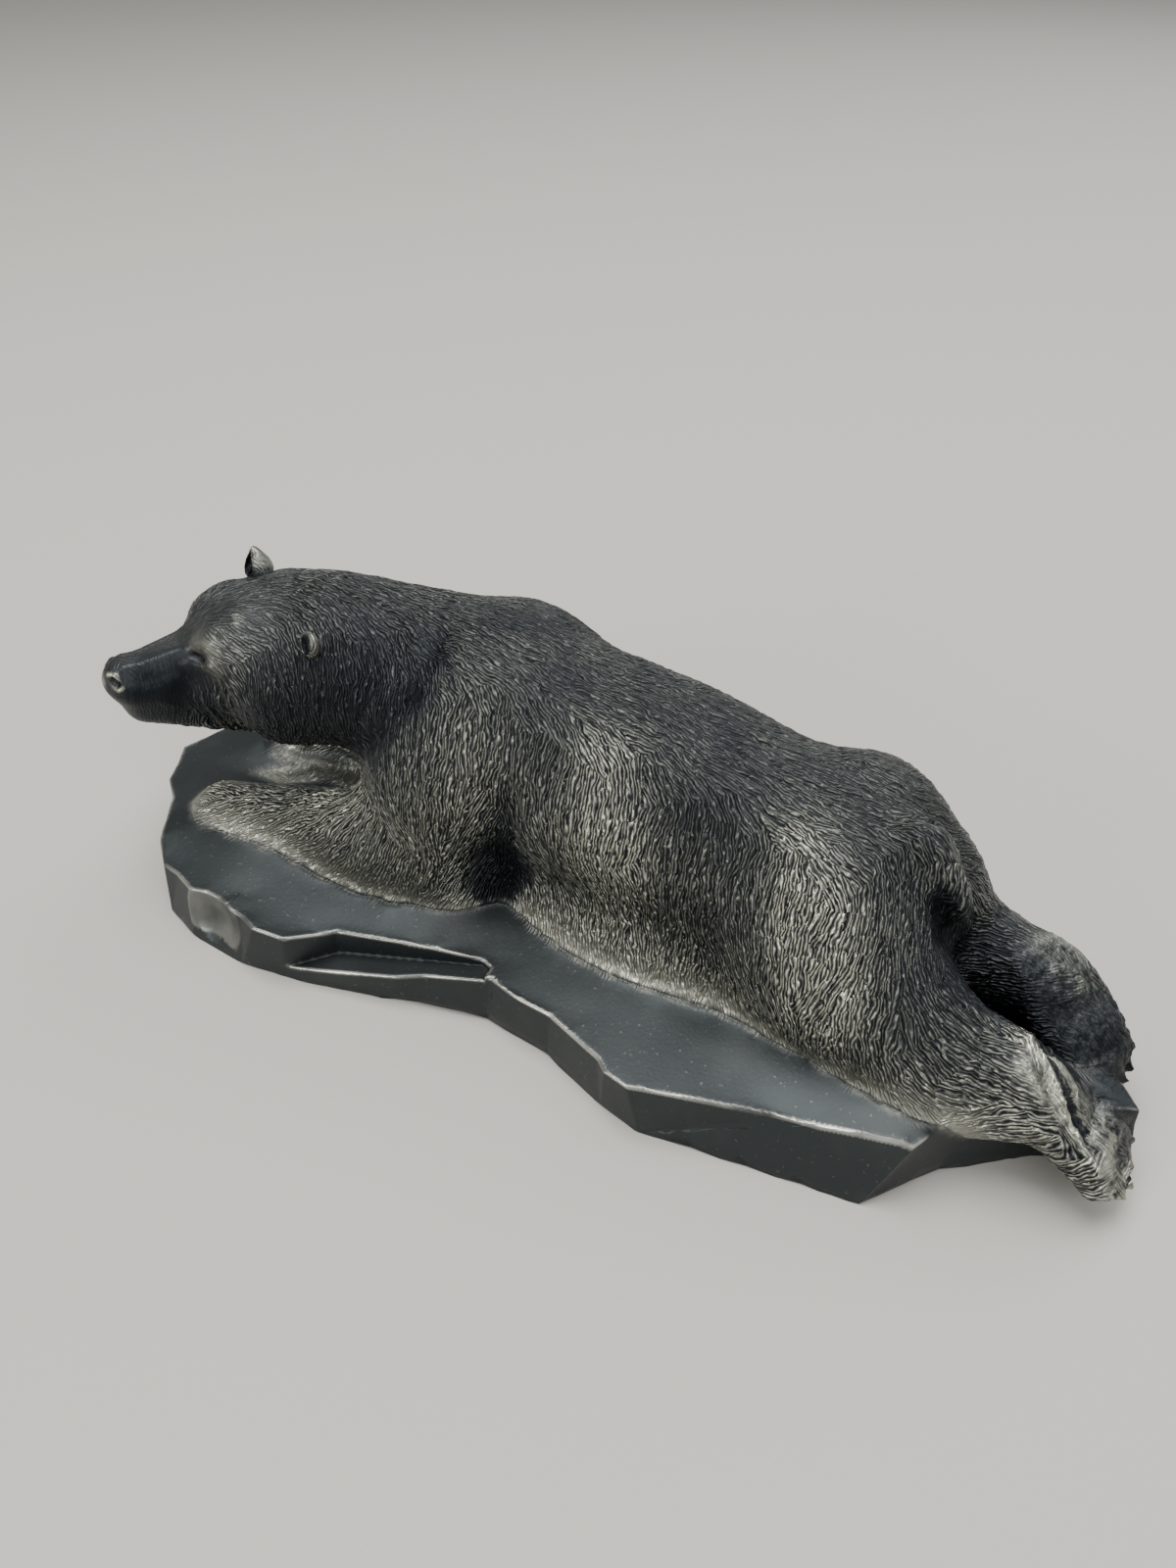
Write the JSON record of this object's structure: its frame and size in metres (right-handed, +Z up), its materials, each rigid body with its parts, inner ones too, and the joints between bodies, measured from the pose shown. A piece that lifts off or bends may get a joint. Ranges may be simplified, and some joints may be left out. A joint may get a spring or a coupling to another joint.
{
  "type": "polar bear figurine",
  "caption": "Cast metal figurine of a polar bear stretched out on a broken ice floe, its head turned to its left and its hind legs trailing over the floe's end.",
  "frame": {"origin": "centre of the bounding box's footprint, on the floe's flat underside", "axes": "+X along the bear's trunk towards its hind feet, +Y towards the bear's right side, +Z up"},
  "size_m": [0.1644, 0.0694, 0.0516],
  "materials": {
    "dark_cast_metal": "cast pewter-like metal with a dark oxidised patina, fur strokes carved all over the bear, high places rubbed brighter, smooth satin ice"
  },
  "bodies": {
    "root": {"bear_on_ice_floe": "dark_cast_metal"}
  },
  "joints": []
}
